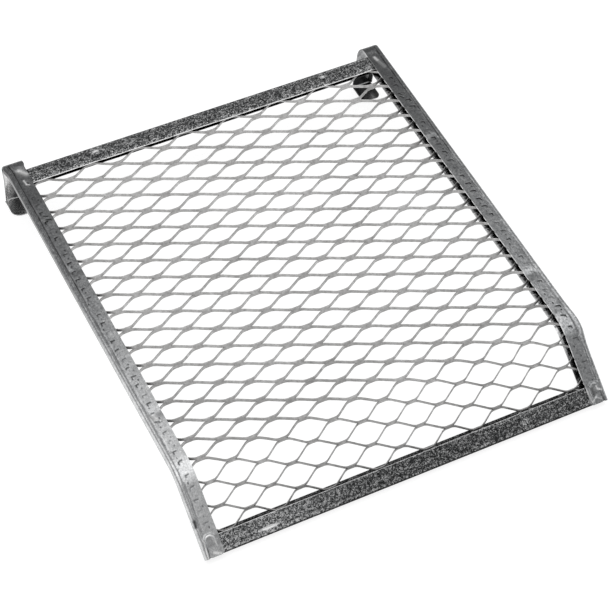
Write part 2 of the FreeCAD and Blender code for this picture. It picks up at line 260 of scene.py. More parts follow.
def tube_faces(tubes, rows, around):
    """Quads of closed tubes, each rows sections long with an even number of points around, and capped."""
    index = np.arange(tubes * rows * around).reshape(tubes, rows, around)
    turned = np.roll(index, -1, axis=2)
    sides = np.stack((index[:, :-1], index[:, 1:], turned[:, 1:], turned[:, :-1]), -1).reshape(-1, 4)
    caps = []
    for step in range(around // 2 - 1):
        corners = (step, step + 1, around - 2 - step, around - 1 - step)
        caps.append(np.stack([index[:, 0, c] for c in corners], -1))
        caps.append(np.stack([index[:, -1, c] for c in corners[::-1]], -1))
    return np.concatenate([sides] + caps)


def made_mesh(name, points, faces, tone_and_painted_light=None, sharp=35.0):
    """A mesh object at the origin from points in millimetres, its faces turned outwards."""
    mesh = bpy.data.meshes.new(name)
    mesh.from_pydata((points.reshape(-1, 3) * MM).tolist(), [], faces.tolist())
    if tone_and_painted_light is not None:
        # The attribute carries the surface's tone with painted shade and painted highlights.
        layer = mesh.attributes.new("tone_and_painted_light", "FLOAT", "POINT")
        layer.data.foreach_set("value", tone_and_painted_light.astype(np.float32).ravel())
    work = bmesh.new()
    work.from_mesh(mesh)
    bmesh.ops.recalc_face_normals(work, faces=work.faces)
    work.to_mesh(mesh)
    work.free()
    mesh.shade_smooth()
    mesh.set_sharp_from_angle(angle=math.radians(sharp))
    piece = bpy.data.objects.new(name, mesh)
    bpy.context.scene.collection.objects.link(piece)
    return piece


# Raised mesh

def strand_knots(rng):
    """Run and lift of every strand's middle at each bond column, and which half of the bond it is.

    A strand lies between two rows of bonds and meets them in turn: the front half of a bond in the
    row behind, then the back half of one in the row in front. Each bond is a little out of place.
    """
    rows = np.arange(-ROWS_BEHIND_BEND, ROWS_ON_KICK)
    columns = np.arange(-COLUMNS_EACH_SIDE, COLUMNS_EACH_SIDE + 1)
    stray_run = rng.normal(0, 0.07, (len(rows), len(columns)))
    stray_lift = rng.normal(0, 0.03, (len(rows), len(columns)))
    behind = np.arange(len(rows) - 1)[:, None]
    is_front_half = (rows[:-1, None] + columns[None, :]) % 2 == 0
    row_index = np.where(is_front_half, behind, behind + 1)
    column_index = np.broadcast_to(np.arange(len(columns)), row_index.shape)
    half = np.where(is_front_half, 1.0, -1.0) * STRAND_WIDTH / 2
    run = (rows[row_index] + ROW_PHASE) * ROW_PITCH + half * math.cos(STRAND_TILT)
    lift = -half * math.sin(STRAND_TILT)
    run = run + stray_run[row_index, column_index]
    lift = lift + stray_lift[row_index, column_index]
    return run, lift, is_front_half


def mesh_panel():
    """Raised expanded metal: one zigzag strand for each gap between two rows of bonds.

    Between one bond column and the next a strand's run and lift go from knot to knot by eased().
    Its section is a bevelled rectangle, STRAND_WIDTH by STRAND_THICKNESS, tilted so that the back
    edge is up. The bevel fades along the edge that two strands share at a bond. The panel is turned
    by MESH_TURN, and under the cross rails it is pinched flatter.
    """
    rng = np.random.default_rng(11)
    knot_run, knot_lift, is_front_half = strand_knots(rng)
    strands, columns = knot_run.shape
    distance = np.concatenate((
        np.linspace(0, 1.4, 2),
        np.linspace(2.0, 5.0, 6),
        [7.0],
        HALF_COLUMN - np.array([7.0, 5.0, 4.4, 3.8, 3.2, 2.6, 2.0, 1.4]),
    ))
    share = eased((distance - BOND_FLAT) / (HALF_COLUMN - 2 * BOND_FLAT), STRAND_EASE)

    def along(knots):
        spans = knots[:, :-1, None] + (knots[:, 1:] - knots[:, :-1])[..., None] * share
        return np.concatenate((spans.reshape(strands, -1), knots[:, -1:]), 1)

    def near_bond(flags):
        start = flags[:, :-1, None] * smooth((BOND_REACH - distance) / BOND_FADE)
        end = flags[:, 1:, None] * smooth((BOND_REACH - (HALF_COLUMN - distance)) / BOND_FADE)
        return np.concatenate((np.maximum(start, end).reshape(strands, -1), flags[:, -1:]), 1)

    first = np.arange(-COLUMNS_EACH_SIDE, COLUMNS_EACH_SIDE) * HALF_COLUMN
    x = np.append((first[:, None] + distance).ravel(), COLUMNS_EACH_SIDE * HALF_COLUMN) + COLUMN_SHIFT
    run = along(knot_run)
    lift = along(knot_lift)
    back_bevel = STRAND_BEVEL * (1 - near_bond(is_front_half.astype(float))) + LEAST_BEVEL
    front_bevel = STRAND_BEVEL * (1 - near_bond(1.0 - is_front_half)) + LEAST_BEVEL
    half_width = np.full_like(run, STRAND_WIDTH / 2)
    half_thick = np.full_like(run, STRAND_THICKNESS / 2)
    section = (
        (half_width - back_bevel, half_thick),
        (front_bevel - half_width, half_thick),
        (-half_width, half_thick - front_bevel),
        (-half_width, front_bevel - half_thick),
        (front_bevel - half_width, -half_thick),
        (half_width - back_bevel, -half_thick),
        (half_width, back_bevel - half_thick),
        (half_width, half_thick - back_bevel),
    )
    across = np.stack([corner[0] for corner in section], -1)
    out = np.stack([corner[1] for corner in section], -1)
    run = run[..., None] - across * math.cos(STRAND_TILT) + out * math.sin(STRAND_TILT)
    lift = lift[..., None] + across * math.sin(STRAND_TILT) + out * math.cos(STRAND_TILT)
    x = np.broadcast_to(x[None, :, None], run.shape)
    y = RUN_ORIGIN - run
    turned_x = x * math.cos(MESH_TURN) - y * math.sin(MESH_TURN)
    turned_y = x * math.sin(MESH_TURN) + y * math.cos(MESH_TURN)
    turned_run = RUN_ORIGIN - turned_y
    top_pinch = 0.5 * smooth((turned_y - BACK_FACE + 25) / 7)
    bottom_pinch = 0.45 * smooth((turned_run - RUN_FRONT + 17) / 5)
    points = on_sheet(turned_x, turned_run, lift * (1 - (top_pinch + bottom_pinch)))
    return made_mesh("mesh_panel", points, tube_faces(strands, run.shape[1], len(section)))


# Folded channels

def channel_profile(size, spacing):
    """Middle line of a folded channel as inset, lift and turn, from its top free edge to its under one.

    Turn is how far the outward normal has turned from straight up: none on the top flange, a quarter
    on the wall and a half under the channel. Both folds are quarter arcs.
    """
    fold = size["fold"]
    arc_radius = fold - size["sheet"] / 2
    flat = size["thickness"] / 2 - fold
    quarter = np.linspace(0, math.pi / 2, 9)
    top = np.linspace(size["top"], fold, int((size["top"] - fold) / spacing) + 1)[:-1]
    under = np.linspace(fold, size["under"], 12)[1:]
    turn = np.concatenate((0 * top, quarter, quarter + math.pi / 2, math.pi + 0 * under))
    folds = [fold - arc_radius * np.sin(quarter + begun) for begun in (0, math.pi / 2)]
    inset = np.concatenate((top, *folds, under))
    level = np.concatenate((
        flat + 0 * top,
        flat + 0 * quarter,
        -flat + 0 * quarter,
        -flat + 0 * under,
    ))
    return inset, level + arc_radius * np.cos(turn), turn


def channel_skins(size, inset, lift, turn, relief):
    """Outer and inner skins of a channel, half a sheet each side of its middle line, with the relief
    added where the sheet faces up."""
    facing_up = np.clip(np.cos(turn), 0, 1)
    skins = []
    for side in (1, -1):
        offset = side * size["sheet"] / 2
        skins.append((inset - offset * np.sin(turn), lift + offset * np.cos(turn) + relief * facing_up))
    return skins


def inner_painted_shade_and_light(size, inset, turn):
    """Painted shade inside a channel: painted shade under the top flange but a painted highlight at its free
    edge, and painted shade deep in the under flange but the lip's own painted tone on its lip, from just
    inside the top flange's edge outwards."""
    upper = 1.4 * smooth((size["top"] - inset) / 0.6) - 0.8
    lower = 0.95 + (size["lip_painted_tone"] - 0.95) * smooth((inset - size["top"] + 1.1) / 0.5)
    return np.where(turn < math.pi / 2, upper, lower)


def free_edge_highlight(size, inset, turn):
    """1 on the last stretch of sheet at the top flange's free edge, where a highlight is painted."""
    return smooth((inset - size["top"] + 0.5) / 0.4) * (turn < 0.1)


def oval_distance(run, inset, centre_run, centre_inset, length, width):
    """Distance outside an oval that lies along the run; negative inside it."""
    past = np.maximum(np.abs(run - centre_run) - (length - width) / 2, 0)
    return np.hypot(past, inset - centre_inset) - width / 2


def stroke(run, inset, start, end, width):
    """Narrow pressed line between two points given as (run, inset): 1 on it, falling off by bell()."""
    span_run, span_inset = end[0] - start[0], end[1] - start[1]
    share = (run - start[0]) * span_run + (inset - start[1]) * span_inset
    share = np.clip(share / (span_run ** 2 + span_inset ** 2), 0, 1)
    return bell(np.hypot(run - start[0] - share * span_run, inset - start[1] - share * span_inset), width)


def strand_imprints(run, inset, seed):
    """Marks that the strands below left in a side flange when it was pressed, from 0 to 1.

    Every row of bonds leaves an angle of two strokes, fainter on the kick, and a short fleck.
    """
    rng = np.random.default_rng(seed)
    marks = np.zeros(np.broadcast(run, inset).shape)
    for row in range(3 - ROWS_BEHIND_BEND, ROWS_ON_KICK - 2):
        place = (row + ROW_PHASE) * ROW_PITCH + rng.normal(0, 0.4)
        middle = rng.uniform(5.6, 6.8)
        reach = rng.uniform(0.7, 1.4)
        strength = rng.uniform(0.15, 0.85) * (0.5 if row > 0 else 1.0)
        tilt = rng.normal(0.35, 0.2)
        corner = (place, middle - reach)
        far = (place - tilt, middle + reach)
        foot = (place + rng.uniform(0.7, 2.0), corner[1] + rng.uniform(-0.3, 0.2))
        long_arm = stroke(run, inset, corner, far, 0.4)
        short_arm = stroke(run, inset, corner, foot, 0.36)
        marks = np.maximum(marks, strength * np.maximum(long_arm, 0.8 * short_arm))
        fleck = (place + rng.uniform(2.5, 4.5), rng.uniform(4.2, 8.4))
        fleck_end = (fleck[0] + 0.5, fleck[1])
        fleck_strength = rng.uniform(0, 0.8)
        marks = np.maximum(marks, fleck_strength * stroke(run, inset, fleck, fleck_end, 0.34))
    return marks


def front_press(run, inset):
    """How far a side flange is pressed down at the front, and how much of a slit parts it from the
    shoulder: a long U, open at the front end, inside a flange that drops below the shoulder."""
    near_front = smooth((run - RUN_FRONT + 11.5) / 6.0)
    slit_place = 1.9 + 0.07 * (RUN_FRONT - run)
    flange = smooth((inset - slit_place) / 0.5)
    outline = oval_distance(run, inset, RUN_FRONT + 4.3, 5.6, 33.0, 5.7)
    press = near_front * (0.15 + 0.35 * flange) + 0.45 * smooth((0.2 - outline) / 0.8)
    press = press - 0.1 * bell(outline - 0.5, 0.4)
    return press, near_front * bell(inset - slit_place - 0.5, 0.4)


def side_relief(run, inset, side):
    """Height added to a side rail's top flange, and its painted tone: painted shade and painted highlights.

    A groove parts the rounded shoulder from the flange, and the flange is pressed down over the top
    cross rail. SIDE_DENTS, the strands' imprints, front_press() and CREASES are pressed in.
    """
    back_wall = RUN_ORIGIN - (BACK_FACE - TOP_RAIL_SETBACK)
    on_flange = smooth((inset - 3.1) / 0.9)

    groove_place = 3.0 + 0.14 * wander(run, 9, 3 + side) + 0.1 * wander(run, 3, 13 + side)
    groove_depth = 0.28 + 0.1 * wander(run, 17, 5 + side)
    groove = bell(inset - groove_place, 0.42) * (1 - smooth((run - RUN_FRONT + 13) / 2))
    relief = -groove_depth * groove
    # Painted shade in the groove, fading towards the front.
    groove_shade_fade = 0.5 * smooth((run - RUN_ORIGIN + 60) / 60)
    tone_and_painted_light = groove * (0.8 - groove_shade_fade + 0.3 * wander(run, 3, 8 + side))

    pressed = 0.3 * on_flange * smooth((run - back_wall + 3.5) / 5)
    relief = relief - pressed * smooth((back_wall + 32 - run) / 18)
    relief = relief + 0.07 * wander(run, 9, 21 + side) * smooth((inset - 5) / 5)
    relief = relief + (0.06 + 0.02 * wander(run, 2.6, 31 + side)) * bell(inset - 1.6, 0.9)

    for y, depth, reach in SIDE_DENTS[side]:
        relief = relief - depth * on_flange * bell(run - (RUN_ORIGIN - y), reach)

    marks = strand_imprints(run, inset, 40 + side)
    relief = relief - 0.1 * marks
    # The imprints are painted dark, as shade in the pressed marks.
    tone_and_painted_light = np.maximum(tone_and_painted_light, 2.8 * marks - 0.15)

    press, slit = front_press(run, inset)
    relief = relief - press
    # Painted shade in the slit at the front.
    tone_and_painted_light = np.maximum(tone_and_painted_light, 0.85 * slit)
    for start, end, width, depth, tone in CREASES[side]:
        crease = stroke(run, inset, start, end, width)
        relief = relief - depth * crease
        # Each crease paints shade where its tone is positive and a highlight where it is negative.
        tone_and_painted_light = np.where(crease > 0.02, tone_and_painted_light * (1 - crease) + tone * crease, tone_and_painted_light)
    return relief, np.clip(tone_and_painted_light, -1, 1)


def flare(y, shift):
    """How far the back corner stands out: nothing FLARE_REACH from the back face, shift at it."""
    return shift * smooth((y - BACK_FACE + FLARE_REACH) / FLARE_REACH)


def side_rail_run(inset, turn):
    """Run of each point of a side rail, in rows RAIL_STEP apart, with both of its ends cut to shape.

    At the back the top flange stops where the hook's bend starts, the wall where the leg's lip
    takes over, and the under flange UNDER_SETBACK short of the end. At the front the groove and the
    free edge stop short of the shoulder and the flange between them.
    """
    back = RUN_ORIGIN - RAIL_END
    run = np.linspace(back, RUN_FRONT, int((RUN_FRONT - back) / RAIL_STEP))[:, None]
    top_share = 1 - smooth((turn - math.radians(50)) / math.radians(30))
    wall_share = np.where(turn < math.radians(100), 1 - top_share, smooth((3.0 - inset) / 2.6))
    under_share = smooth((turn - math.radians(130)) / math.radians(30))
    cut = (RAIL_END - HOOK_ROOT) * top_share + (WALL_SETBACK - HOOK_SETBACK) * wall_share
    end_cut = cut * smooth((back + END_CUT_REACH - run) / END_CUT_REACH) ** 4
    under_cut = UNDER_SETBACK * under_share * smooth((back + UNDER_CUT_REACH - run) / UNDER_CUT_REACH) ** 2
    run = run + end_cut + under_cut
    tip = 0.7 * bell(inset - 2.8, 0.5) + 1.1 * smooth((inset - 9.3) / 1.6)
    return run - tip * (np.cos(turn) > 0.9) * smooth((run - RUN_FRONT + 8) / 8) ** 3


def side_rail_tone_and_light(run, inset, turn, marks, side):
    """Painted shade and light on a side rail's outer and inner skins, with the marks on its top flange.

    The wall has painted shade at the back and is painted lighter towards the front, with streaks and a line
    along its lower fold that is painted dark but turns to a painted highlight near the back. The right
    rail's free edge has a painted highlight, and the left rail's top is painted lighter towards the front.
    """
    facing_up = np.clip(np.cos(turn), 0, 1)
    y = RUN_ORIGIN - run
    # Painted shade on the wall at the back, painted lighter towards the front.
    shade = 0.35 + 0.4 * smooth((y - 60) / 60) - 0.6 * smooth((60 - y) / 90)
    wall = shade * smooth((turn - math.radians(30)) / math.radians(35))
    # The lower fold's line is painted dark, and painted as a highlight near the back.
    low_fold = bell(turn - math.radians(101), math.radians(9))
    wall = wall + low_fold * (0.8 - 2.3 * smooth((y - 55) / 30))
    streak = 0.06 * wander(run, 4.5, 51 + side) + 0.05 * wander(run, 1.5, 57 + side)
    outer = marks * smooth(facing_up / 0.4) + wall + streak * smooth((turn - 0.3) / 0.5)
    if side == 1:
        # Painted highlight along the right rail's free edge.
        outer = outer - 0.4 * free_edge_highlight(SIDE, inset, turn)
    else:
        # The left rail's top is painted lighter towards the front.
        outer = outer - 0.27 * smooth((30 - y) / 90) * facing_up
    return np.stack((outer, inner_painted_shade_and_light(SIDE, inset, turn) + 0 * marks))


def side_rail_points(side):
    """Skins of a side rail: the channel profile carried along the run, over the kick bend.

    The back corner is flared, the right rail bulges by BEND_BULGE at the bend, the free edges
    waver, and the under flange's lip bends down by LIP_DROOP, less and less towards the front.
    """
    profile_inset, profile_lift, turn = channel_profile(SIDE, PROFILE_STEP)
    run = side_rail_run(profile_inset, turn)
    relief, marks = side_relief(run, profile_inset[None, :], side)
    near_wall = smooth((4.5 - profile_inset) / 3)
    free_edge = 0.12 * wander(run, 19, 61 + side) * smooth((profile_inset - 4) / 7)
    outwards = flare(RUN_ORIGIN - run, HOOK_SHAPE[side][1]) * near_wall
    if side == 1:
        outwards = outwards + BEND_BULGE * bell(run - 4, 8) * near_wall
    lip_droop = LIP_DROOP * smooth((profile_inset - 9.8) / 2.2) * (turn > 3) * smooth((30 - run) / 20)
    skins = []
    for inset, lift in channel_skins(SIDE, profile_inset, profile_lift, turn, relief):
        x = side * (HALF_WIDTH - inset - free_edge + outwards)
        skins.append(on_sheet(x, run, lift - lip_droop))
    return np.stack(skins), side_rail_tone_and_light(run, profile_inset, turn, marks, side), *run.shape


def hook_mottle_and_painted_light(side, reach, depth, along, across, turn):
    """Tone on a hook's inner face: mottling, and a tone of its own on the leg and on the tongue, with
    painted light and shade.

    Reach is the distance in from the outer edge and depth the distance down from the top. The left
    leg has a painted highlight along its outer edge and is darker further in, and its tongue is painted
    light. The right leg is darker below its top, and its tongue has painted shade along the outer edge.
    Round the tongue's bend both have a painted highlight.
    """
    mottle = 0.12 * wander(along, 1.3, 91 + side) + 0.1 * wander(across, 0.8, 95 + side)
    if side == -1:
        leg = 0.4 * smooth((reach - 4.5) / 5.0) - 0.75 * (1 - smooth((reach - 3.0) / 5.5))
        tongue = -0.9
    else:
        leg = 0.55 * smooth((depth - 9.0) / 3.0) - 0.15
        tongue = -0.2 + 0.9 * smooth((8.0 - reach) / 3.0)
    on_tongue = smooth((turn - math.radians(140)) / math.radians(30))
    mottle_and_painted_light = mottle + leg * (1 - on_tongue) + tongue * on_tongue
    # Painted highlight round the tongue's bend.
    return mottle_and_painted_light - bell(turn - 3 * math.pi / 4, 0.3)


def hook_points(side):
    """Skins of a hook: a strip carried from the top flange round a bend, down the leg and forwards.

    Across the strip the outer edge curls forwards in a quarter arc. It has the rail's fold radius
    round the upper bend, opens to the leg's lip over LEG_OPENING and flattens out round the tongue's
    bend. The strip widens from the flange to HOOK_WIDTH over HOOK_WIDENING. The tongue's front
    corners are rounded, and the foot leans in and forwards, evenly from the leg's top.
    """
    lip_radius, shift, lean_in, lean_forward, corner = HOOK_SHAPE[side]
    half_sheet = SIDE["sheet"] / 2
    top = SHEET_HEIGHT + HALF_SIDE - half_sheet
    bend = np.linspace(0, math.pi / 2, 13)
    leg_top, leg_bottom = top - HOOK_BEND, half_sheet + TONGUE_BEND
    leg = np.linspace(leg_top, leg_bottom, 40)[1:-1]
    tongue_start = BACK_FACE - half_sheet - TONGUE_BEND
    tip = BACK_FACE - TONGUE_LENGTH
    tongue = tongue_start - (tongue_start - tip) * np.sin(np.linspace(0, math.pi / 2, 26)[1:])

    def down_the_strip(*stretches):
        return np.concatenate(stretches)[:, None]

    y = down_the_strip(
        HOOK_ROOT + HOOK_BEND * np.sin(bend),
        BACK_FACE - half_sheet + 0 * leg,
        tongue_start + TONGUE_BEND * np.cos(bend),
        tongue,
    )
    z = down_the_strip(
        leg_top + HOOK_BEND * np.cos(bend),
        leg,
        leg_bottom - TONGUE_BEND * np.sin(bend),
        half_sheet + 0 * tongue,
    )
    turn = down_the_strip(bend, math.pi / 2 + 0 * leg, math.pi / 2 + bend, math.pi + 0 * tongue)
    curl = down_the_strip(1 + 0 * bend, 1 + 0 * leg, 1 - smooth(bend / (math.pi / 2)), 0 * tongue)
    opened = down_the_strip(0 * bend, smooth((leg_top - leg) / LEG_OPENING), 1 + 0 * bend, 1 + 0 * tongue)
    out_y, out_z = np.sin(turn), np.cos(turn)

    flat = np.linspace(0, 1, 24)[None, :-1]
    arc = np.linspace(0, math.pi / 2, 12)[None, :]
    fold = SIDE["fold"] - half_sheet
    radius = fold + (lip_radius - fold) * opened
    outwards = flare(y, shift) * (turn < math.pi / 2) + shift * (turn >= math.pi / 2)
    lip_start = HALF_WIDTH - half_sheet - radius + outwards
    widening = np.sin(math.pi / 2 * np.clip((top - z) / HOOK_WIDENING, 0, 1))
    inner = HALF_WIDTH - SIDE["top"] - (HOOK_WIDTH - SIDE["top"]) * widening
    x = np.concatenate((inner + (lip_start - inner) * flat, lip_start + radius * np.sin(arc)), 1)
    arc_all = np.concatenate((0 * flat, arc), 1)
    rise = radius * (1 - np.cos(arc_all)) * curl
    slope = np.arctan2(curl * np.sin(arc_all), np.cos(arc_all))

    to_tip = np.clip(corner - (y - tip), 0, corner) * (turn > 3)
    cut = corner - np.sqrt(corner ** 2 - to_tip ** 2)
    middle = HALF_WIDTH - HOOK_WIDTH / 2
    x = middle + (x - middle) * (1 - cut / (HOOK_WIDTH / 2))

    down = np.clip((leg_top - z) / (leg_top - half_sheet), 0, 1)
    x = x - lean_in * down
    y = y - lean_forward * down

    mottle_and_painted_light = hook_mottle_and_painted_light(side, HALF_WIDTH + shift - x, top - z, z + 2 * x, y - z + x, turn)
    skins = []
    for half in (half_sheet, -half_sheet):
        away = half * np.cos(slope) - rise
        skins.append(np.stack(np.broadcast_arrays(
            side * (x + half * np.sin(slope)), y + away * out_y, z + away * out_z), -1))
    return np.stack(skins), np.stack((0 * mottle_and_painted_light, mottle_and_painted_light)), *mottle_and_painted_light.shape


def side_rail(name, side):
    """A side rail with its hook, as two closed plates in one mesh."""
    points, tone_and_painted_light, faces = [], [], []
    first = 0
    for part in (side_rail_points(side), hook_points(side)):
        part_points, part_grime, rows, columns = part
        points.append(skewed(part_points.reshape(-1, 3)))
        tone_and_painted_light.append(part_grime.ravel())
        faces.append(plate_faces(rows, columns, first))
        first += 2 * rows * columns
    return made_mesh(name, np.concatenate(points), np.concatenate(faces), np.concatenate(tone_and_painted_light), 40.0)


def cross_relief(x, inset, droop, clinches, dents, seed):
    """Height added to a cross rail's top flange, and its painted tone: a line of painted shade along the
    outer strip, a painted highlight ring round each clinch, and a painted highlight or shade on each dent by
    the sign of its tone.

    The outer strip slopes down to the fold, the free edge droops and waves, both ends are pressed
    down under the side rails, and the clinches, each in a raised ring, and the dents are added.
    """
    clear_of_ends = smooth((HALF_WIDTH - 11.0 - np.abs(x)) / 6)
    relief = -0.42 * (1 - smooth(inset / 3.6))
    relief = relief - 0.5 * smooth((np.abs(x) - HALF_WIDTH + 12.5) / 2.5)
    edge = smooth((inset - 8.8) / 2.1)
    relief = relief + clear_of_ends * edge * (0.02 + 0.12 * wander(x, 15.2, seed))
    relief = relief - droop * smooth((inset - 8.5) / 3.3)
    relief = relief + 0.06 * clear_of_ends * wander(x, 6, seed + 1) * smooth((inset - 3) / 4)
    # A line of painted shade along the edge of the outer strip.
    tone_and_painted_light = 0.3 * bell(inset - 3.4, 0.5) + 0 * relief
    for place, centre, depth in clinches:
        distance = np.hypot(x - place, inset - centre)
        relief = relief + 0.3 * depth * bell(distance, 3.0) - depth * bell(distance, 1.2)
        # Painted highlight ring round each clinch.
        tone_and_painted_light = tone_and_painted_light - 0.4 * bell(distance - 1.5, 0.45)
    for place, centre, depth, length, width, tone in dents:
        dent = bell(x - place, length) * bell(inset - centre, width)
        relief = relief - depth * dent
        # Each dent's tone paints a highlight where negative and shade where positive.
        tone_and_painted_light = tone_and_painted_light * (1 - dent) + tone * dent
    return relief, tone_and_painted_light


def cross_rail(name, size, wall_run, clinches, dents, seed):
    """A cross rail: the channel profile carried along X, its wall at wall_run, open inwards.

    The fold and the wall are painted in shade and the free edge has a painted highlight. The bottom rail is
    painted lighter on its outer strip and towards its left end.
    """
    is_bottom = wall_run > 0
    inward = -1 if is_bottom else 1
    profile_inset, profile_lift, turn = channel_profile(size, PROFILE_STEP)
    steps = int(2 * CROSS_HALF_LENGTH / RAIL_STEP)
    x = np.linspace(-CROSS_HALF_LENGTH, CROSS_HALF_LENGTH, steps)[:, None]
    relief, tone_and_painted_light = cross_relief(x, profile_inset[None, :], size["droop"], clinches, dents, seed)
    wave = 0.12 * wander(x, 26, seed + 2) * smooth((profile_inset - 4) / 7)
    skins = []
    for inset, lift in channel_skins(size, profile_inset, profile_lift, turn, relief):
        skins.append(on_sheet(x, wall_run + inward * (inset + wave), lift))
    faces = plate_faces(*tone_and_painted_light.shape, 0)
    facing_up = np.clip(np.cos(turn), 0, 1)
    # Painted highlight along the free edge.
    outer = tone_and_painted_light * facing_up - free_edge_highlight(size, profile_inset, turn)
    if is_bottom:
        # The bottom rail's outer strip and left end are painted lighter.
        left = smooth((-20 - x) / 60)
        strip = 1 - smooth((profile_inset - 3.0) / 1.6)
        outer = outer - (0.18 * left + (0.05 + 0.1 * left) * strip) * facing_up
    # Painted shade over the fold and the wall.
    outer = outer + 0.95 * smooth((turn - 0.12) / 0.3)
    tone_and_painted_light = np.stack((outer, inner_painted_shade_and_light(size, profile_inset, turn) + 0 * tone_and_painted_light))
    return made_mesh(name, skewed(np.stack(skins)), faces, tone_and_painted_light, 40.0)


# Finishes

def set_stops(ramp, stops):
    """Fills a colour ramp node from (position, grey, warmth) stops."""
    elements = ramp.color_ramp.elements
    while len(elements) < len(stops):
        elements.new(0.5)
    for element, (position, grey, warmth) in zip(elements, stops):
        element.position = position
        element.color = (grey * (1 + warmth), grey, grey * (1 - warmth), 1)


class Finish:
    """A material under construction: short calls that add nodes and join them."""

    def __init__(self, name, metallic):
        self.material = bpy.data.materials.new(name)
        self.material.use_nodes = True
        self.tree = self.material.node_tree
        self.shader = self.tree.nodes["Principled BSDF"]
        self.shader.inputs["Metallic"].default_value = metallic
        self.place = self.tree.nodes.new("ShaderNodeTexCoord").outputs["Object"]

    def node(self, kind, **settings):
        """A new node with these settings."""
        made = self.tree.nodes.new(kind)
        for key, value in settings.items():
            setattr(made, key, value)
        return made

    def join(self, source, target):
        """Links an output to an input."""
        self.tree.links.new(source, target)

    def stretched(self, scale):
        """Object coordinates scaled per axis, in repeats per metre."""
        mapping = self.node("ShaderNodeMapping")
        mapping.inputs["Scale"].default_value = scale
        self.join(self.place, mapping.inputs["Vector"])
        return mapping.outputs["Vector"]

    def noise(self, scale, detail, roughness):
        """Cloudy noise, from 0 to 1."""
        made = self.node("ShaderNodeTexNoise")
        made.inputs["Scale"].default_value = 1.0
        made.inputs["Detail"].default_value = detail
        made.inputs["Roughness"].default_value = roughness
        self.join(self.stretched(scale), made.inputs["Vector"])
        return made.outputs["Fac"]

    def cells(self, scale):
        """Random grey of each crystal of the zinc, as a Voronoi cell."""
        made = self.node("ShaderNodeTexVoronoi")
        made.inputs["Scale"].default_value = 1.0
        self.join(self.stretched(scale), made.inputs["Vector"])
        split = self.node("ShaderNodeSeparateColor")
        self.join(made.outputs["Color"], split.inputs["Color"])
        return split.outputs["Red"]

    def spread(self, value, low, high, to_low=0.0, to_high=1.0):
        """Maps low…high of a value to to_low…to_high, clamped."""
        made = self.node("ShaderNodeMapRange")
        made.inputs["From Min"].default_value = low
        made.inputs["From Max"].default_value = high
        made.inputs["To Min"].default_value = to_low
        made.inputs["To Max"].default_value = to_high
        self.join(value, made.inputs["Value"])
        return made.outputs["Result"]

    def maths(self, operation, first, second):
        """One operation on two values, each a socket or a number."""
        made = self.node("ShaderNodeMath", operation=operation)
        for socket, value in zip(made.inputs, (first, second)):
            if isinstance(value, float):
                socket.default_value = value
            else:
                self.join(value, socket)
        return made.outputs["Value"]

    def total(self, *parts):
        """Sum of (value, weight) parts."""
        first, *others = [self.maths("MULTIPLY", value, weight) for value, weight in parts]
        for part in others:
            first = self.maths("ADD", first, part)
        return first

    def colours(self, value, stops):
        """Colour of a value from (position, grey, warmth) stops."""
        ramp = self.node("ShaderNodeValToRGB")
        set_stops(ramp, stops)
        self.join(value, ramp.inputs["Fac"])
        return ramp.outputs["Color"]

    def along_length(self, colour, stops):
        """The colour times a grey that follows the grid's length, from (y in millimetres, grey) stops."""
        split = self.node("ShaderNodeSeparateXYZ")
        self.join(self.place, split.inputs["Vector"])
        low, high = stops[0][0], stops[-1][0]
        share = self.spread(split.outputs["Y"], low * MM, high * MM)
        greys = self.colours(share, [((y - low) / (high - low), grey, 0.0) for y, grey in stops])
        mix = self.node("ShaderNodeMix", data_type="RGBA", blend_type="MULTIPLY")
        mix.inputs["Factor"].default_value = 1.0
        self.join(colour, mix.inputs["A"])
        self.join(greys, mix.inputs["B"])
        return mix.outputs["Result"]

    def with_tone_and_painted_light(self, colour, layers):
        """The colour under layers of tone, painted shade and painted highlights. Each layer is (start, end,
        shade): it isn't there at start of the painted tone attribute and covers the colour at end. Shade is
        a grey or a colour socket."""
        tone_and_painted_light = self.node("ShaderNodeAttribute", attribute_name="tone_and_painted_light").outputs["Fac"]
        for start, end, shade in layers:
            mix = self.node("ShaderNodeMix", data_type="RGBA")
            self.join(self.spread(tone_and_painted_light, start, end), mix.inputs["Factor"])
            self.join(colour, mix.inputs["A"])
            if isinstance(shade, float):
                mix.inputs["B"].default_value = (shade, shade, shade, 1)
            else:
                self.join(shade, mix.inputs["B"])
            colour = mix.outputs["Result"]
        return colour

    def bump(self, height, distance, strength):
        """Fine relief of the surface, distance in millimetres."""
        made = self.node("ShaderNodeBump")
        made.inputs["Distance"].default_value = distance * MM
        made.inputs["Strength"].default_value = strength
        self.join(height, made.inputs["Height"])
        self.join(made.outputs["Normal"], self.shader.inputs["Normal"])


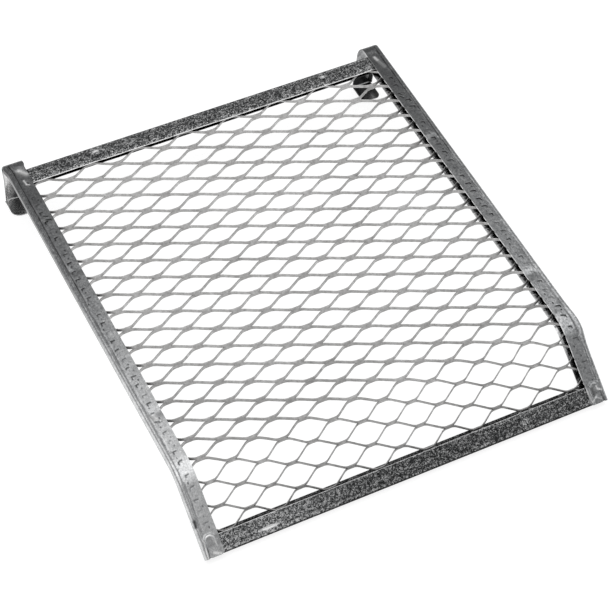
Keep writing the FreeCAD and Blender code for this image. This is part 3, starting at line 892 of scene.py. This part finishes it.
def folded_zinc():
    """Side rails: smooth zinc with faint crystals, drawn lines along the rail and dark imprints, painted
    darker towards the back, with painted shade and highlights from the painted tone attribute.
    """
    finish = Finish("folded_zinc", 1.0)
    crystals = finish.cells((1300, 1000, 1300))
    cloud = finish.noise((330, 200, 330), 6, 0.7)
    drawn = finish.noise((1500, 60, 1500), 3, 0.5)
    mottle = finish.total((crystals, 0.3), (cloud, 0.5), (drawn, 0.2))
    zinc = ((0.25, 0.24, -0.02), (0.44, 0.42, -0.02), (0.6, 0.58, -0.015), (0.78, 0.85, 0.0))
    # Painted light and shade along the length: darker towards the back, lightest near the bend.
    painted_light_along_length = ((-142, 0.78), (-108, 0.82), (-80, 1.0), (0, 0.76), (70, 0.54), (142, 0.34))
    colour = finish.along_length(finish.colours(mottle, zinc), painted_light_along_length)
    # Positive tone mixes towards painted shade, negative towards a painted highlight.
    colour = finish.with_tone_and_painted_light(colour, ((0.0, 1.0, 0.02), (0.0, -1.0, 0.95)))
    finish.join(colour, finish.shader.inputs["Base Color"])
    finish.join(finish.spread(mottle, 0.3, 0.75, 0.27, 0.17), finish.shader.inputs["Roughness"])
    finish.bump(mottle, 0.02, 0.5)
    return finish.material


def spangled_zinc():
    """Cross rails: bright and dark crystals with high contrast, painted lighter towards the back, with
    painted shade and highlights from the painted tone attribute.
    """
    finish = Finish("spangled_zinc", 1.0)
    large = finish.cells((1350, 1350, 1350))
    small = finish.cells((2500, 2500, 2500))
    cloud = finish.noise((260, 260, 260), 5, 0.7)
    mottle = finish.total((large, 0.5), (small, 0.5), (finish.maths("SUBTRACT", cloud, 0.5), 0.4))
    zinc = ((0.2, 0.03, -0.02), (0.45, 0.1, -0.02), (0.62, 0.3, -0.02), (0.82, 1.0, 0.0))
    # Greys of the painted highlights.
    highlight_greys = ((0.3, 0.08, -0.02), (0.45, 0.28, -0.02), (0.56, 0.75, -0.01), (0.7, 1.0, 0.0))
    # Painted light: lighter towards the back.
    painted_light_along_length = ((-142, 0.58), (0, 0.58), (142, 0.76))
    colour = finish.along_length(finish.colours(mottle, zinc), painted_light_along_length)
    bright = finish.colours(mottle, highlight_greys)
    # Positive tone mixes towards painted shade, negative towards painted highlights.
    colour = finish.with_tone_and_painted_light(colour, ((0.0, 1.0, 0.015), (0.0, -0.6, bright), (-0.5, -1.0, 0.98)))
    finish.join(colour, finish.shader.inputs["Base Color"])
    finish.join(finish.spread(mottle, 0.2, 0.8, 0.4, 0.24), finish.shader.inputs["Roughness"])
    finish.bump(mottle, 0.06, 0.5)
    return finish.material


def strand_zinc():
    """Mesh strands: matte zinc with soft mottling, painted darker towards the front as shade."""
    finish = Finish("strand_zinc", 0.85)
    cloud = finish.noise((420, 420, 420), 4, 0.6)
    wide = finish.noise((28, 28, 28), 2, 0.5)
    mottle = finish.total((cloud, 0.7), (wide, 0.3))
    zinc = ((0.3, 0.36, 0.01), (0.5, 0.52, 0.008), (0.7, 0.68, 0.0))
    # Painted shade: darker towards the front.
    painted_light_along_length = ((-142, 0.62), (-115, 0.68), (-90, 0.95), (142, 1.0))
    colour = finish.along_length(finish.colours(mottle, zinc), painted_light_along_length)
    finish.join(colour, finish.shader.inputs["Base Color"])
    finish.join(finish.spread(mottle, 0.3, 0.7, 0.56, 0.4), finish.shader.inputs["Roughness"])
    finish.bump(cloud, 0.04, 0.4)
    return finish.material


# Studio

FLOOR_REACH = 4000
FLOOR_DROP = 0.1                        # keeps the floor off the faces that stand on it


def studio_floor():
    """Plain pale floor under the object, lit a little from within so that its shadows stay faint."""
    signs = ((-1, -1), (1, -1), (1, 1), (-1, 1))
    corners = np.array([(x * FLOOR_REACH, y * FLOOR_REACH, -FLOOR_DROP) for x, y in signs])
    floor = made_mesh("floor", corners, np.array([[0, 1, 2, 3]]))
    finish = Finish("pale_floor", 0.0)
    finish.shader.inputs["Base Color"].default_value = (0.42, 0.42, 0.42, 1)
    finish.shader.inputs["Roughness"].default_value = 0.9
    finish.shader.inputs["Specular IOR Level"].default_value = 0.0
    finish.shader.inputs["Emission Color"].default_value = (1, 1, 1, 1)
    finish.shader.inputs["Emission Strength"].default_value = 0.78
    floor.data.materials.append(finish.material)


def soft_box(name, place, aim, width, depth, power):
    """A rectangular lamp at place, in millimetres, facing aim."""
    lamp = bpy.data.lights.new(name, "AREA")
    lamp.shape = "RECTANGLE"
    lamp.size = width * MM
    lamp.size_y = depth * MM
    lamp.energy = power
    holder = bpy.data.objects.new(name, lamp)
    bpy.context.scene.collection.objects.link(holder)
    start, end = Vector(place) * MM, Vector(aim) * MM
    holder.location = start
    holder.rotation_euler = (end - start).to_track_quat("-Z", "Y").to_euler()


def studio_light():
    """A pale room with a dark band about 43 degrees up, and a soft lamp overhead.

    The room's grey follows the sine of the height above the horizon, and is even below it.
    """
    world = bpy.data.worlds.new("pale_room")
    bpy.context.scene.world = world
    world.use_nodes = True
    nodes, links = world.node_tree.nodes, world.node_tree.links
    place = nodes.new("ShaderNodeTexCoord")
    split = nodes.new("ShaderNodeSeparateXYZ")
    ramp = nodes.new("ShaderNodeValToRGB")
    low_greys = ((0.0, 0.43), (0.3, 0.38), (0.55, 0.27), (0.66, 0.13))
    high_greys = ((0.71, 0.13), (0.75, 0.2), (0.84, 0.5), (1.0, 0.52))
    set_stops(ramp, [(height, grey, 0.0) for height, grey in low_greys + high_greys])
    links.new(place.outputs["Generated"], split.inputs["Vector"])
    links.new(split.outputs["Z"], ramp.inputs["Fac"])
    links.new(ramp.outputs["Color"], nodes["Background"].inputs["Color"])
    nodes["Background"].inputs["Strength"].default_value = 2.2
    soft_box("overhead_softbox", (-60, -60, 1100), (-60, -60, 0), 700, 600, 0.5)


def studio_camera():
    """Camera at the grid's front left, looking down over it."""
    azimuth, elevation, roll = (math.radians(a) for a in (-29.359, 51.36, 3.506))
    target = Vector((-4.51, -16.0, SHEET_HEIGHT - 13.245)) * MM
    distance = 1.19962                  # metres
    turn = (
        Matrix.Rotation(azimuth, 4, "Z")
        @ Matrix.Rotation(math.pi / 2 - elevation, 4, "X")
        @ Matrix.Rotation(roll, 4, "Z")
    )
    lens = bpy.data.cameras.new("camera")
    lens.lens = 124.03
    lens.sensor_width = 36
    camera = bpy.data.objects.new("camera", lens)
    camera.matrix_world = Matrix.Translation(target + turn.to_3x3() @ Vector((0, 0, distance))) @ turn
    bpy.context.scene.collection.objects.link(camera)
    bpy.context.scene.camera = camera


# The object

def build_grid():
    """Makes every piece, gives it its finish, hangs it under the root body and hides the CAD nodes it stands
    for.
    """
    rail_finish = folded_zinc()
    cross_finish = spangled_zinc()
    strand_finish = strand_zinc()
    top_wall = RUN_ORIGIN - (BACK_FACE - TOP_RAIL_SETBACK)
    bottom_wall = RUN_FRONT - BOTTOM_RAIL_SETBACK
    rows = (
        (mesh_panel(), strand_finish, "mesh", ("mesh_field", "mesh_kick")),
        (side_rail("left_side_rail_sheet", -1), rail_finish, "side_rail", ("left_side_rail",)),
        (side_rail("right_side_rail_sheet", 1), rail_finish, "side_rail", ("right_side_rail",)),
        (cross_rail("top_cross_rail_sheet", TOP_CROSS, top_wall, TOP_CLINCHES, TOP_DENTS, 71),
         cross_finish, "cross_rail", ("top_cross_rail",)),
        (cross_rail("bottom_cross_rail_sheet", BOTTOM_CROSS, bottom_wall, BOTTOM_CLINCHES, BOTTOM_DENTS, 81),
         cross_finish, "cross_rail", ("bottom_cross_rail",)),
    )
    for piece, finish, slot, nodes in rows:
        piece.data.materials.append(finish)
        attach(piece, "root")
        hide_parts(*nodes)


build_grid()
studio_floor()
studio_light()
studio_camera()
bpy.context.scene.view_settings.view_transform = "Standard"
